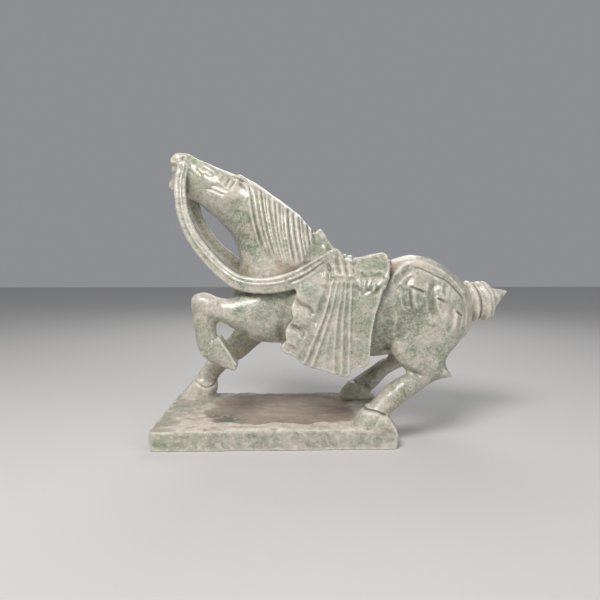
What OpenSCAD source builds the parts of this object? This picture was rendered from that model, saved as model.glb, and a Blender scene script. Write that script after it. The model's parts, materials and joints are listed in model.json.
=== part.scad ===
// Prancing tack horse carved with its plinth from one block of green stone.
// Millimetres. +Z is up, the horse faces -X, and -Y is its left (near) side.
// The origin is the centre of the plinth's underside.
// Every node is one carved region of the stone, cut face to face from the regions it meets.

/* [Plinth] */
// Length of the plinth, head to tail
base_length = 288; // [250:1:360]
// Width of the plinth, side to side
base_width = 154; // [130:1:200]
// Thickness of the plinth
base_height = 25; // [16:1:50]
// Chamfer on the plinth's four upright corners
base_chamfer = 4; // [1:0.5:8]

/* [Stance] */
// From the plinth's head end to the far fore hoof's toe
fore_toe_inset = 5; // [0:1:20]
// From the plinth's tail end to the near hind hoof's heel
hind_heel_inset = 11; // [0:1:30]
// How far the far hind hoof stands ahead of the near one
hind_stagger = 5; // [0:1:20]
// From the plinth's long side to a standing hoof's outer wall
hoof_side_inset = 3; // [0:0.5:15]
// Width of a hoof at the ground
hoof_width = 35; // [28:1:42]
// Width of a leg at the cannon
cannon_width = 23; // [16:1:28]

/* [Body] */
// Width of the chest between the shoulders
chest_width = 92; // [76:1:110]
// Width of the barrel at the girth
barrel_width = 106; // [88:1:128]
// Width of the hindquarters
rump_width = 98; // [82:1:118]
// Width of the neck where it leaves the head
neck_width = 50; // [40:1:60]
// Width of the head across the cheeks
cheek_width = 52; // [42:1:62]
// Width of the muzzle
muzzle_width = 30; // [24:1:36]
// Width of the twisted tail knot
tail_width = 46; // [36:1:56]

/* [Tack] */
// Width of a rein
rein_width = 17.5; // [14:0.5:21]
// Thickness of a rein
rein_thickness = 10; // [8:0.5:13]
// How far the mane stands off the neck
mane_relief = 3; // [2:0.5:5]
// How far straps and pendants stand off the hindquarters
strap_relief = 2.5; // [1.5:0.5:4]
// Thickness of the saddle and its skirts
saddle_relief = 7; // [5:0.5:10]
// Thickness of the pleated cloth
cloth_thickness = 9; // [6:0.5:12]
// Depth of the pleats in the cloth
pleat_depth = 2.5; // [1:0.5:4]
// Number of pleats that fan across the cloth
pleat_count = 6; // [3:1:9]

/* [Hidden] */

near = -1;
far = 1;
body_sides = 28;
limb_sides = 18;
ring_steps = 3;

// Further than any of the stone reaches from its middle.
clear = 320;

// Places of the three standing hooves, and how far each leg reaches out to them.
fore_toe_x = -base_length / 2 + fore_toe_inset;
hind_heel_x = base_length / 2 - hind_heel_inset;
stand_y = base_width / 2 - hoof_side_inset - hoof_width / 2;
forehand_y = 37;
mound_length = 54;

// A rib is one cross-section: [lower or front x, z, upper or back x, z, half width, y].
function spline(a, b, c, d, t) =
  0.5 * (2 * b + (c - a) * t + (2 * a - 5 * b + 4 * c - d) * t * t + (3 * b - a - 3 * c + d) * t * t * t);

function between(ribs, steps) = let (last = len(ribs) - 1) concat(
  [for (i = [0:last - 1]) for (s = [0:steps - 1])
    spline(ribs[max(i - 1, 0)], ribs[i], ribs[i + 1], ribs[min(i + 2, last)], s / steps)],
  [ribs[last]]);

// Rounded-square power of a sine or cosine, so that 1 gives an ellipse and less gives a fuller section.
function full(v, power) = sign(v) * pow(abs(v), power);

function rib_ring(rib, sides, power) =
  let (half_x = (rib[2] - rib[0]) / 2, half_z = (rib[3] - rib[1]) / 2)
  [for (k = [0:sides - 1]) let (a = 360 * k / sides, c = full(cos(a), power), s = full(sin(a), power))
    [rib[0] + half_x * (1 + c), rib[5] + rib[4] * s, rib[1] + half_z * (1 + c)]];

// 1 where the ribs follow one another so that the ring order faces outwards, else -1.
function rib_turn(ribs) = let (a = ribs[0], b = ribs[len(ribs) - 1], m = ribs[floor(len(ribs) / 2)])
  sign((m[3] - m[1]) * (b[0] + b[2] - a[0] - a[2]) - (m[2] - m[0]) * (b[1] + b[3] - a[1] - a[3]));

// Skin over a row of ribs, with flat ends.
module loft(ribs, sides = limb_sides, power = 0.92, steps = ring_steps) {
  rows = between(ribs, steps);
  points = [for (r = rows) each rib_ring(r, sides, power)];
  wall = [for (i = [0:len(rows) - 2]) for (k = [0:sides - 1])
    [i * sides + k, i * sides + (k + 1) % sides, (i + 1) * sides + (k + 1) % sides, (i + 1) * sides + k]];
  first = [for (k = [sides - 1:-1:0]) k];
  last = [for (k = [0:sides - 1]) (len(rows) - 1) * sides + k];
  faces = concat(wall, [first, last]);
  turned = rib_turn(ribs) > 0 ? faces : [for (f = faces) [for (i = [len(f) - 1:-1:0]) f[i]]];
  polyhedron(points, turned, convexity = 6);
}

// Every rib stood off by the same amount all round, for what lies on the skin.
function stood_off(ribs, by) = [for (r = ribs)
  let (dx = r[2] - r[0], dz = r[3] - r[1], n = max(norm([dx, dz]), 1))
  [r[0] - dx / n * by, r[1] - dz / n * by, r[2] + dx / n * by, r[3] + dz / n * by, r[4] + by, r[5]]];

// Heights below are above the plinth's top.
module on_plinth() translate([0, 0, base_height]) children();

// Keeps one region of stone as a single faceted skin.
module carved(stone) color(stone) resize([0, 0, 0]) on_plinth() children();

// An outline in the side view, drawn right through the stone.
module side_view() translate([0, clear, 0]) rotate([90, 0, 0]) linear_extrude(2 * clear) children();

// An outline in the front view, drawn from the middle of the stone back to its tail.
module front_view() rotate([90, 0, 90]) linear_extrude(clear) children();

module one_side(side) translate([-clear, side == near ? -clear : 0, -clear])
  cube([2 * clear, clear, 3 * clear]);

// ---- Stone colours ----
pale_green = [0.76, 0.77, 0.69];
green = [0.63, 0.68, 0.58];
grey_green = [0.70, 0.72, 0.66];

// ---- Trunk ----
chest = chest_width / 2;
barrel = barrel_width / 2;
rump = rump_width / 2;
torso_ribs = [
  [-53, 143, -53, 165, chest * 0.34, 0],
  [-44, 120, -44, 178, chest * 0.70, 0],
  [-20, 96, -20, 186, chest, 0],
  [20, 84, 20, 188, (chest + barrel) / 2 + 1, 0],
  [60, 76, 60, 187, barrel, 0],
  [100, 71, 100, 187, barrel, 0],
  [140, 72, 140, 191, barrel - 1, 0],
  [172, 80, 172, 200, rump + 1, 0],
  [205, 84, 205, 193, rump - 1, 0],
  [230, 87, 230, 177, rump * 0.82, 0],
  [246, 97, 246, 161, rump * 0.55, 0],
  [253, 110, 253, 145, rump * 0.22, 0]
];
module torso_mass() loft(torso_ribs, body_sides);

neck_half = neck_width / 2;
neck_ribs = [
  [-70, 242, -46, 300, neck_half - 2, 0],
  [-56, 227, -24, 288, neck_half, 0],
  [-46, 202, 3, 268, neck_half + 6, 0],
  [-46, 180, 26, 250, neck_half + 12, 0],
  [-51, 158, 48, 228, chest - 4, 0],
  [-46, 138, 80, 194, barrel - 9, 0],
  [-20, 125, 92, 172, barrel - 13, 0]
];
module neck_mass() loft(neck_ribs, body_sides);

// ---- Head ----
cheek = cheek_width / 2;
muzzle = muzzle_width / 2;
head_ribs = [
  [-38, 252, -36, 295, cheek - 8, 0],
  [-52, 240, -50, 302, cheek - 2, 0],
  [-66, 243, -66, 308, cheek, 0],
  [-80, 252, -80, 314, cheek - 2, 0],
  [-93, 263, -93, 320, cheek - 6, 0],
  [-103, 274, -103, 325, muzzle + 1.5, 0],
  [-111, 296, -111, 328, muzzle, 0],
  [-120, 304, -120, 327, muzzle, 0],
  [-128, 310.5, -129, 322, muzzle - 4, 0],
  [-131.5, 315, -132, 318, muzzle - 10, 0]
];
module head_mass() loft(head_ribs, body_sides);

jaw_ribs = [
  [-88, 262, -88, 288, muzzle - 2, 0],
  [-104, 270, -104, 293, muzzle - 2, 0],
  [-114, 275, -114, 295, muzzle - 2.5, 0],
  [-124, 279, -124, 298, muzzle - 4, 0],
  [-131, 283, -131, 295, muzzle - 8, 0],
  [-133, 287, -133, 290, muzzle - 12, 0]
];
module jaw_mass() loft(jaw_ribs);

// Ears lie back along the crest.
ear_y = 11;
function ear_ribs(side) = [
  [-62, 294, -60, 302, 3, side * ear_y],
  [-54, 293, -53, 306, 6, side * (ear_y + 1)],
  [-44, 290, -42, 304, 6.5, side * (ear_y + 3)],
  [-35, 288, -33, 297, 4, side * (ear_y + 4)],
  [-29, 287, -29, 289, 1.5, side * (ear_y + 4)]
];
module ear_mass(side) loft(ear_ribs(side), 14, steps = 2);

// Comb of the mane: from behind the ears to the pommel, down both sides of the neck.
mane_outline = [
  [-42, 330], [-37, 280], [-31, 250], [-15, 226], [2, 198], [13, 188],
  [33, 187], [50, 227], [90, 280], [0, 330]
];
module mane_mass() intersection() {
  loft(stood_off(neck_ribs, mane_relief), body_sides);
  side_view() polygon(mane_outline);
}

// ---- Forelegs ----
cannon = cannon_width / 2;
hoof = hoof_width / 2;
near_fore_y = -forehand_y;
forearm_ribs = [
  [4, 92, 12, 158, cannon + 9, near_fore_y + 8],
  [-20, 95, -25, 157, cannon + 8, near_fore_y + 4],
  [-46, 109, -50, 148, cannon + 5, near_fore_y + 1],
  [-64, 120, -66, 148, cannon + 3, near_fore_y],
  [-79, 122, -80, 155, cannon + 3, near_fore_y],
  [-92, 127, -92, 155, cannon + 1.5, near_fore_y],
  [-99, 134, -99, 149, cannon - 4, near_fore_y]
];
module forearm_mass() loft(forearm_ribs);

fore_cannon_ribs = [
  [-95, 140, -76, 136, cannon - 3, near_fore_y],
  [-99, 130, -71, 122, cannon + 1, near_fore_y],
  [-97, 112, -70, 108, cannon, near_fore_y],
  [-94, 92, -69, 101, cannon, near_fore_y],
  [-89, 80, -68, 98, cannon + 0.5, near_fore_y]
];
module fore_cannon_mass() loft(fore_cannon_ribs);

raised_hoof_ribs = [
  [-90, 81, -69, 100, cannon, near_fore_y],
  [-78, 72, -64, 98, hoof - 4, near_fore_y],
  [-60, 64.5, -54, 81, hoof - 4, near_fore_y],
  [-48, 61, -45.5, 66, hoof - 8, near_fore_y]
];
module raised_hoof_mass() loft(raised_hoof_ribs, power = 0.8, steps = 2);

far_forearm_ribs = [
  [-44, 132, 6, 100, cannon + 7, forehand_y - 8],
  [-58, 99, -24, 80, cannon + 3.5, forehand_y - 3],
  [-71, 85, -44, 62, cannon + 2, forehand_y],
  [-83, 70, -62, 52, cannon + 1, forehand_y + 2]
];
module far_forearm_mass() loft(far_forearm_ribs);

far_cannon_ribs = [
  [-80, 73, -59, 55, cannon, forehand_y + 2],
  [fore_toe_x + 46, 60, -70, 44, cannon, (forehand_y + stand_y) / 2],
  [fore_toe_x + 33, 44, fore_toe_x + mound_length + 4, 31, cannon, stand_y - 1],
  [fore_toe_x + 24, 28, fore_toe_x + mound_length - 2, 18, cannon, stand_y]
];
module far_cannon_mass() loft(far_cannon_ribs);

// The hoof spreads from the coronet down to a mound of stone left on the plinth.
far_hoof_ribs = [
  [fore_toe_x + 25, 31, fore_toe_x + mound_length, 21, cannon + 1, stand_y],
  [fore_toe_x + 16, 20, fore_toe_x + mound_length + 1, 15, hoof - 2, stand_y],
  [fore_toe_x + 5, 7, fore_toe_x + mound_length - 2, 6, hoof - 0.5, stand_y],
  [fore_toe_x, 0, fore_toe_x + mound_length, 0, hoof, stand_y]
];
module far_fore_hoof_mass() loft(far_hoof_ribs, power = 0.85, steps = 2);

// ---- Hind legs ----
// The thigh hangs on the hindquarters, and the cannon slopes forward from the hock to the hoof.
function thigh_ribs(side) = [
  [160, 152, 230, 152, 19, side * (rump - 24)],
  [147, 119, 238, 119, 21, side * (rump - 18)],
  [140, 92, 227, 96, 20, side * (rump - 12)],
  [147, 73, 208, 77, cannon + 5, side * (rump - 4)],
  [157, 61, 207, 68, cannon + 2.5, side * rump],
  [170, 52, 211, 57, cannon, side * (rump + 1)]
];
module thigh_mass(side) loft(thigh_ribs(side));

function hind_cannon_ribs(side, heel_x) = let (hock_y = side * (rump + 1), foot_y = side * stand_y) [
  [216, 51, 215, 55, 3, hock_y],
  [208, 53, 202, 68, cannon - 1, hock_y],
  [192, 49, 181, 66, cannon + 1, hock_y],
  [heel_x + 40, 38, heel_x + 27, 57, cannon + 0.5, (hock_y + foot_y) / 2],
  [heel_x + 23, 27, heel_x + 10, 44, cannon, foot_y],
  [heel_x + 10, 17, heel_x - 3, 35, cannon, foot_y],
  [heel_x + 1, 10, heel_x - 17, 25, cannon + 1, foot_y]
];
module hind_cannon_mass(side, heel_x) loft(hind_cannon_ribs(side, heel_x));

function hind_hoof_ribs(side, heel_x) = [
  [heel_x - 23, 22, heel_x + 3, 14, cannon + 1, side * stand_y],
  [heel_x - 30, 15, heel_x + 4, 10, hoof - 2, side * stand_y],
  [heel_x - 37, 5, heel_x + 7, 4, hoof - 0.5, side * stand_y],
  [heel_x - 40, 0, heel_x + 9, 0, hoof, side * stand_y]
];
module hind_hoof_mass(side, heel_x) loft(hind_hoof_ribs(side, heel_x), power = 0.85, steps = 2);

function hind_heel(side) = side == near ? hind_heel_x : hind_heel_x - hind_stagger;

// ---- Tail ----
tail_half = tail_width / 2;
tail_ribs = [
  [246, 122, 236, 164, tail_half - 4, 0],
  [254, 117, 243, 166, tail_half - 2, 0],
  [260, 113, 251, 169.5, tail_half, 0],
  [266, 118, 258, 166, tail_half - 2.5, 0],
  [272, 115, 265, 169, tail_half, 0],
  [278, 117, 272, 167, tail_half - 0.5, 0],
  [282, 124, 277, 162, tail_half - 5, 0],
  [283, 129, 280, 156, tail_half - 9, 0]
];
module tail_knot_mass() loft(tail_ribs, 20);

tail_tip_ribs = [
  [281, 126, 279, 160, tail_half - 9, 0],
  [288, 135, 286, 158, tail_half - 13, 0],
  [296, 146.5, 294.5, 157, tail_half - 17.5, 0],
  [302.5, 153, 302, 155.5, 2, 0]
];
module tail_tip_mass() loft(tail_tip_ribs, 16, steps = 2);

// ---- Reins ----
// Centre line of a rein: [x, y, z], from the mouth round the chest and up to the saddle.
function near_rein_line() = [
  [-111, -13, 302], [-114, -17, 284], [-113, -21, 263], [-107, -25, 240], [-97, -29, 220],
  [-84, -33, 202], [-69, -37, 186], [-54, chest_y(-41), 172], [-40, chest_y(-45), 164],
  [-20, chest_y(-50), 160], [0, chest_y(-52), 161], [16, chest_y(-53), 166],
  [34, chest_y(-51), 175], [50, chest_y(-47), 186], [64, chest_y(-42), 196]
];
function far_rein_line() = [
  [-106, 9, 284], [-105, 15, 262], [-99, 20, 243], [-89, 25, 224], [-76, 30, 209],
  [-62, 35, 197], [-48, -chest_y(-40), 187], [-34, -chest_y(-44), 178],
  [-16, -chest_y(-49), 170], [2, -chest_y(-52), 167], [18, -chest_y(-53), 169],
  [34, -chest_y(-51), 176], [50, -chest_y(-47), 186], [64, -chest_y(-42), 196]
];
// The rein follows the chest out or in as the chest's width changes.
drawn_chest = 46;
function chest_y(y) = y + drawn_chest - chest;

function band(line, wide, thick) = let (last = len(line) - 1)
  [for (i = [0:last]) let (
    a = line[max(i - 1, 0)], b = line[min(i + 1, last)], t = [b[0] - a[0], b[2] - a[2]],
    n = t / norm(t) * wide / 2, p = line[i])
    [p[0] + n[1], p[2] - n[0], p[0] - n[1], p[2] + n[0], thick / 2, p[1]]];
module rein_mass(line, wide) loft(band(line, wide, rein_thickness), 14, power = 0.7, steps = 2);

// ---- Saddle ----
// The pommel is a peaked arch that leans back from the withers.
pommel_side = [[33, 185], [49, 225], [57, 233], [65, 220], [75, 207], [84, 201], [84, 160], [50, 160]];
pommel_half = [[3, 236], [14, 226], [30, 205], [44, 182], [44, 150]];
pommel_front = concat(pommel_half,
  [for (i = [len(pommel_half) - 1:-1:0]) [-pommel_half[i][0], pommel_half[i][1]]]);
module pommel_mass() intersection() {
  side_view() polygon(pommel_side);
  front_view() polygon([for (p = pommel_front) [p[0] * chest / drawn_chest, p[1]]]);
}

skirt = saddle_relief;
saddle_ribs = [
  [66, 140, 66, 218, barrel + skirt - 4, 0],
  [75, 138, 75, 206, barrel + skirt - 3, 0],
  [88, 137, 88, 200.5, barrel + skirt - 3, 0],
  [101, 137, 101, 198, barrel + skirt - 3, 0],
  [113, 137, 113, 193, barrel + skirt - 3, 0],
  [124, 137, 124, 196.5, barrel + skirt - 3, 0],
  [138, 138, 138, 201, barrel + skirt - 3, 0],
  [146, 140, 146, 195, barrel + skirt - 3, 0]
];
saddle_outline = [[60, 230], [70, 168], [98, 168], [100, 162], [131, 162], [147, 196], [146, 230]];
module saddle_mass() intersection() {
  loft(saddle_ribs, body_sides, power = 1);
  side_view() polygon(saddle_outline);
}

// ---- Saddle cloth ----
// Hangs from the saddle over each side, then straight down past the belly.
cloth_profile = let (b = barrel, t = cloth_thickness) [
  [20, 206], [b - 26, 200], [b - 13, 184], [b - 2, 166], [b + 5, 150], [b + 7.5, 130],
  [b + 9, 100], [b + 10, 50], [b + 10 - t, 50], [b + 9 - t, 100], [b + 5 - t, 130],
  [b - t, 150], [b - 14 - t, 170], [10, 186]
];
cloth_outline = [
  [25, 160], [27, 152], [19, 138], [20, 126], [11, 112], [12, 99], [7, 94], [10, 88],
  [24, 82], [33, 74], [44, 69], [62, 64], [85, 56], [90, 66], [96, 68], [108, 69], [112, 74],
  [114, 105], [119, 130], [126, 152], [130, 168], [98, 169], [97, 174], [62, 174], [40, 174]
];
// The pleats fan out from under the tie, and lean out with the cloth as they go down.
pleat_gather = [[71, 160], [93, 160]];
pleat_hem = [[44, 50], [90, 50]];
pleat_lean = 2.6;
module pleats(side) for (k = [0:pleat_count]) {
  start = pleat_gather[0] + (pleat_gather[1] - pleat_gather[0]) * k / pleat_count;
  run = pleat_hem[0] + (pleat_hem[1] - pleat_hem[0]) * k / pleat_count - start;
  translate([start[0], side * (barrel + 6), start[1]]) rotate([0, atan2(-run[0], -run[1]), 0])
    rotate([side * pleat_lean, 0, 0]) mirror([0, 0, 1])
      cylinder(h = norm(run) * 1.2, r1 = pleat_depth * 0.8, r2 = pleat_depth * 1.5, $fn = 8);
}
module cloth_mass(side) difference() {
  intersection() {
    front_view() polygon([for (p = cloth_profile) [side * p[0], p[1]]]);
    side_view() polygon(cloth_outline);
  }
  pleats(side);
}

// ---- Tack on the hindquarters ----
strap_outline = [
  [148, 178], [156, 190], [176, 196], [200, 188], [222, 173], [240, 152],
  [246, 160], [226, 182], [203, 198], [176, 206], [146, 198]
];
module strap_mass(side) intersection() {
  loft(stood_off(torso_ribs, strap_relief), body_sides);
  side_view() polygon(strap_outline);
  one_side(side);
}

// Three leaf-shaped pendants hang below the strap.
pendant_places = [[163, 152], [190, 139], [210, 126]];
pendant_size = [19, 34];
pendant_tilt = 16;
module pendant_shape(at) translate(at) rotate(-pendant_tilt) scale([pendant_size[0] / pendant_size[1], 1])
  circle(d = pendant_size[1], $fn = 14);
module pendants_mass(side) intersection() {
  union() {
    loft(stood_off(torso_ribs, strap_relief + 1), body_sides);
    loft(stood_off(thigh_ribs(side), strap_relief));
  }
  side_view() for (p = pendant_places) pendant_shape(p);
  one_side(side);
}

// ---- Carved regions, each cut back from what lies under it ----
module base() color(grey_green) linear_extrude(base_height) {
  x = base_length / 2;
  y = base_width / 2;
  c = base_chamfer;
  polygon([[-x, c - y], [c - x, -y], [x - c, -y], [x, c - y], [x, y - c], [x - c, y], [c - x, y], [-x, y - c]]);
}
module torso() carved(green) torso_mass();
module neck() carved(grey_green) difference() {
  neck_mass();
  torso_mass();
}
module head() carved(pale_green) difference() {
  head_mass();
  neck_mass();
}
module lower_jaw() carved(pale_green) difference() {
  jaw_mass();
  head_mass();
}
module ear(side) carved(pale_green) difference() {
  ear_mass(side);
  head_mass();
  neck_mass();
}
module mane() carved(pale_green) difference() {
  mane_mass();
  neck_mass();
  torso_mass();
  head_mass();
  ear_mass(near);
  ear_mass(far);
}
module near_forearm() carved(grey_green) difference() {
  forearm_mass();
  torso_mass();
  neck_mass();
}
module near_fore_cannon() carved(green) difference() {
  fore_cannon_mass();
  forearm_mass();
}
module near_fore_hoof() carved(pale_green) difference() {
  raised_hoof_mass();
  fore_cannon_mass();
  far_forearm_mass();
}
module far_forearm() carved(green) difference() {
  far_forearm_mass();
  torso_mass();
}
module far_fore_cannon() carved(green) difference() {
  far_cannon_mass();
  far_forearm_mass();
}
module far_fore_hoof() carved(grey_green) difference() {
  far_fore_hoof_mass();
  far_cannon_mass();
}
module hind_thigh(side) carved(green) difference() {
  thigh_mass(side);
  torso_mass();
}
module hind_cannon(side) carved(grey_green) difference() {
  hind_cannon_mass(side, hind_heel(side));
  thigh_mass(side);
  torso_mass();
}
module hind_hoof(side) carved(pale_green) difference() {
  hind_hoof_mass(side, hind_heel(side));
  hind_cannon_mass(side, hind_heel(side));
}
module tail_knot() carved(pale_green) difference() {
  tail_knot_mass();
  torso_mass();
}
module tail_tip() carved(pale_green) difference() {
  tail_tip_mass();
  tail_knot_mass();
}
module near_rein() carved(pale_green) difference() {
  rein_mass(near_rein_line(), rein_width);
  torso_mass();
  neck_mass();
  head_mass();
  jaw_mass();
  forearm_mass();
  pommel_mass();
}
module far_rein() carved(green) difference() {
  rein_mass(far_rein_line(), rein_width - 3);
  torso_mass();
  neck_mass();
  head_mass();
  jaw_mass();
  pommel_mass();
}
module pommel() carved(green) difference() {
  pommel_mass();
  torso_mass();
  neck_mass();
  mane_mass();
}
module saddle() carved(green) difference() {
  saddle_mass();
  torso_mass();
  neck_mass();
  pommel_mass();
}
module saddle_cloth(side) carved(green) difference() {
  cloth_mass(side);
  torso_mass();
  neck_mass();
  saddle_mass();
  pommel_mass();
  forearm_mass();
  rein_mass(side == near ? near_rein_line() : far_rein_line(), side == near ? rein_width : rein_width - 3);
}
module crupper_strap(side) carved(grey_green) difference() {
  strap_mass(side);
  torso_mass();
  saddle_mass();
  tail_knot_mass();
}
module pendants(side) carved(pale_green) difference() {
  pendants_mass(side);
  torso_mass();
  thigh_mass(side);
  strap_mass(side);
}

base();
torso();
neck();
head();
lower_jaw();
ear(near);  // near_ear
ear(far);  // far_ear
mane();
near_forearm();
near_fore_cannon();
near_fore_hoof();
far_forearm();
far_fore_cannon();
far_fore_hoof();
hind_thigh(near);  // near_hind_thigh
hind_cannon(near);  // near_hind_cannon
hind_hoof(near);  // near_hind_hoof
hind_thigh(far);  // far_hind_thigh
hind_cannon(far);  // far_hind_cannon
hind_hoof(far);  // far_hind_hoof
tail_knot();
tail_tip();
near_rein();
far_rein();
pommel();
saddle();
saddle_cloth(near);  // near_saddle_cloth
saddle_cloth(far);  // far_saddle_cloth
crupper_strap(near);  // near_crupper_strap
crupper_strap(far);  // far_crupper_strap
pendants(near);  // near_pendants
pendants(far);  // far_pendants
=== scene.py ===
import bpy
import json
import numpy as np
import openvdb
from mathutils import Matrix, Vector


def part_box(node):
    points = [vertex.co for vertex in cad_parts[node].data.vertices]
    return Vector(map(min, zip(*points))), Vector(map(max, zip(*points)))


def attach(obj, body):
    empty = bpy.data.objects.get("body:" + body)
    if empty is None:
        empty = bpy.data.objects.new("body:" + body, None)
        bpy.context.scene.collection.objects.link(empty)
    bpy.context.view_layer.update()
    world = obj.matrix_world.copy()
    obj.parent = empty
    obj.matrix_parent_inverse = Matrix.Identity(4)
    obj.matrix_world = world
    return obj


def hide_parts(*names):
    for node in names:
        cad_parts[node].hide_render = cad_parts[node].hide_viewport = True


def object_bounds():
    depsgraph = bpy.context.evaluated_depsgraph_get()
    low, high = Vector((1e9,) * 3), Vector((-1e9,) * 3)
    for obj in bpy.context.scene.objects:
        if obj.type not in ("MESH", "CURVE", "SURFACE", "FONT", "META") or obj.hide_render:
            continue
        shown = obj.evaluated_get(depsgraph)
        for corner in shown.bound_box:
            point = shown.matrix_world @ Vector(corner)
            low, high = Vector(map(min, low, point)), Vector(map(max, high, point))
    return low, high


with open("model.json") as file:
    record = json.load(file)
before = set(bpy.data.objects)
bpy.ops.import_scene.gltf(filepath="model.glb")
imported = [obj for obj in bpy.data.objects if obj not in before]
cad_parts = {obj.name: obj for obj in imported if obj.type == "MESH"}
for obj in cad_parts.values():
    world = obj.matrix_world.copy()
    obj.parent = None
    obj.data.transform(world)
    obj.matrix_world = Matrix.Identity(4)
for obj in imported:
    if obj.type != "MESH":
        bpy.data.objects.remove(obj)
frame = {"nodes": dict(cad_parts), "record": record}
cad_box = [list(corner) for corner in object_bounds()]


# ---- The table, the light and the eye ----
# The figurine stands on a plain pale table top under a soft box above and in front of it.
# The eye is a hand-held lens of 27 mm at about 1.3 times the figurine's length.

table_mesh = bpy.data.meshes.new("table_top")
table_mesh.from_pydata([(-4, -4, 0), (4, -4, 0), (4, 4, 0), (-4, 4, 0)], [], [(0, 1, 2, 3)])
table_top = bpy.data.objects.new("table_top", table_mesh)
bpy.context.scene.collection.objects.link(table_top)
table_paint = bpy.data.materials.new("pale_table")
table_paint.use_nodes = True
table_shader = table_paint.node_tree.nodes["Principled BSDF"]
table_shader.inputs["Base Color"].default_value = (0.62, 0.61, 0.60, 1)
table_shader.inputs["Roughness"].default_value = 0.75
table_mesh.materials.append(table_paint)

world = bpy.data.worlds.new("studio")
world.use_nodes = True
world.node_tree.nodes["Background"].inputs["Color"].default_value = (0.86, 0.88, 0.92, 1)
world.node_tree.nodes["Background"].inputs["Strength"].default_value = 0.31
bpy.context.scene.world = world
bpy.context.scene.view_settings.view_transform = "Standard"

figure_middle = Vector((0.06, 0.0, 0.19))
soft_boxes = {
    "key_box": ((-0.35, -0.80, 1.15), 0.5, 15.0, (1.0, 0.975, 0.95)),
    "fill_box": ((0.95, -0.75, 0.55), 0.5, 2.6, (0.95, 0.97, 1.0)),
    "rim_box": ((0.2, 1.0, 1.0), 0.8, 4.5, (1.0, 0.98, 0.96)),
}
for name, (place, size, watts, tint) in soft_boxes.items():
    lamp = bpy.data.lights.new(name, "AREA")
    lamp.shape = "SQUARE"
    lamp.size = size
    lamp.energy = watts
    lamp.color = tint
    holder = bpy.data.objects.new(name, lamp)
    holder.location = place
    holder.rotation_euler = (figure_middle - Vector(place)).to_track_quat("-Z", "Y").to_euler()
    bpy.context.scene.collection.objects.link(holder)

lens = bpy.data.cameras.new("eye")
lens.sensor_width = 36.0
lens.lens = 27.0
eye = bpy.data.objects.new("eye", lens)
eye_yaw, eye_pitch = np.radians(1.5), np.radians(4.3)
eye.location = (0.0166, -0.580, 0.212)
level = np.cos(eye_pitch)
sight = Vector((np.sin(eye_yaw) * level, np.cos(eye_yaw) * level, -np.sin(eye_pitch)))
eye.rotation_euler = sight.to_track_quat("-Z", "Y").to_euler()
bpy.context.scene.collection.objects.link(eye)
bpy.context.scene.camera = eye


# ---- The block, roughed out ----
# One block of stone holds the plinth and the horse. It is a field of distances to the skin, in
# millimetres and negative inside, and each tool below takes stone off it or leaves stone on it.

CELL = 1.0
BAND = 12.0
MARGIN = 6.0
origin = np.floor((np.array(cad_box[0]) * 1000 - MARGIN) / CELL).astype(int)
beyond = np.ceil((np.array(cad_box[1]) * 1000 + MARGIN) / CELL).astype(int)
xs, ys, zs = ((origin[a] + np.arange(beyond[a] - origin[a] + 1)) * CELL for a in range(3))
xs, ys, zs = (axis.astype(np.float32) for axis in (xs, ys, zs))
block = (len(xs), len(ys), len(zs))
lattice = openvdb.createLinearTransform(voxelSize=CELL)


def span(axis, low, high):
    """The slice of an axis from low to high."""
    return slice(int(np.searchsorted(axis, low)), int(np.searchsorted(axis, high, side="right")))


def window(low, high):
    """The slices of the block between two corners."""
    return tuple(span(axis, low[a], high[a]) for a, axis in enumerate((xs, ys, zs)))


def ease(value):
    """0 below 0, 1 above 1, and 3v² - 2v³ between."""
    v = np.clip(value, 0, 1)
    return v * v * (3 - 2 * v)


def region(node):
    """Distances to one carved region of the frame, and the window they are in."""
    mesh = frame["nodes"][node].data
    mesh.calc_loop_triangles()
    points = np.empty(len(mesh.vertices) * 3, np.float32)
    mesh.vertices.foreach_get("co", points)
    corners = np.empty(len(mesh.loop_triangles) * 3, np.int32)
    mesh.loop_triangles.foreach_get("vertices", corners)
    points, first = np.unique(points.reshape(-1, 3), axis=0, return_inverse=True)
    corners = first.ravel()[corners].reshape(-1, 3).astype(np.uint32)
    points = (points * 1000).astype(np.float32)
    grid = openvdb.FloatGrid.createLevelSetFromPolygons(
        points, triangles=corners, transform=lattice, halfWidth=BAND / CELL)
    near = window(points.min(0) - BAND, points.max(0) + BAND)
    distances = np.full([s.stop - s.start for s in near], BAND, np.float32)
    grid.copyToArray(distances, ijk=tuple(int(origin[a] + near[a].start) for a in range(3)))
    return near, distances


regions = {node: region(node) for node in frame["nodes"]}


def together(nodes):
    """The least distance to any of the regions."""
    field = np.full(block, BAND, np.float32)
    for near, distances in (regions[node] for node in nodes):
        field[near] = np.minimum(field[near], distances)
    return field


def filled(field, radius):
    """Creases filled to a radius: the skin is grown by it, measured afresh and shrunk by it again."""
    grid = openvdb.FloatGrid(BAND)
    grid.copyFromArray(field, ijk=tuple(int(o) for o in origin))
    grid.transform = lattice
    points, quads = grid.convertToQuads(isovalue=radius)
    grown = openvdb.FloatGrid.createLevelSetFromPolygons(
        points, quads=quads, transform=lattice, halfWidth=BAND / CELL)
    out = np.empty_like(field)
    grown.copyToArray(out, ijk=tuple(int(o) for o in origin))
    return out + radius


def rubbed(field, sigma):
    """Rubbed down: each value is the mean of those round it, weighed by a bell curve sigma mm wide."""
    reach = max(1, int(np.ceil(2.4 * sigma / CELL)))
    weights = np.exp(-0.5 * (np.arange(-reach, reach + 1) * CELL / sigma) ** 2)
    weights /= weights.sum()
    for axis in range(3):
        padded = np.pad(field, [(reach, reach) if a == axis else (0, 0) for a in range(3)], mode="edge")
        field = np.zeros_like(field)
        for step, weight in enumerate(weights):
            cut = [slice(None)] * 3
            cut[axis] = slice(step, step + field.shape[axis])
            field += np.float32(weight) * padded[tuple(cut)]
    return field


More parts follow.
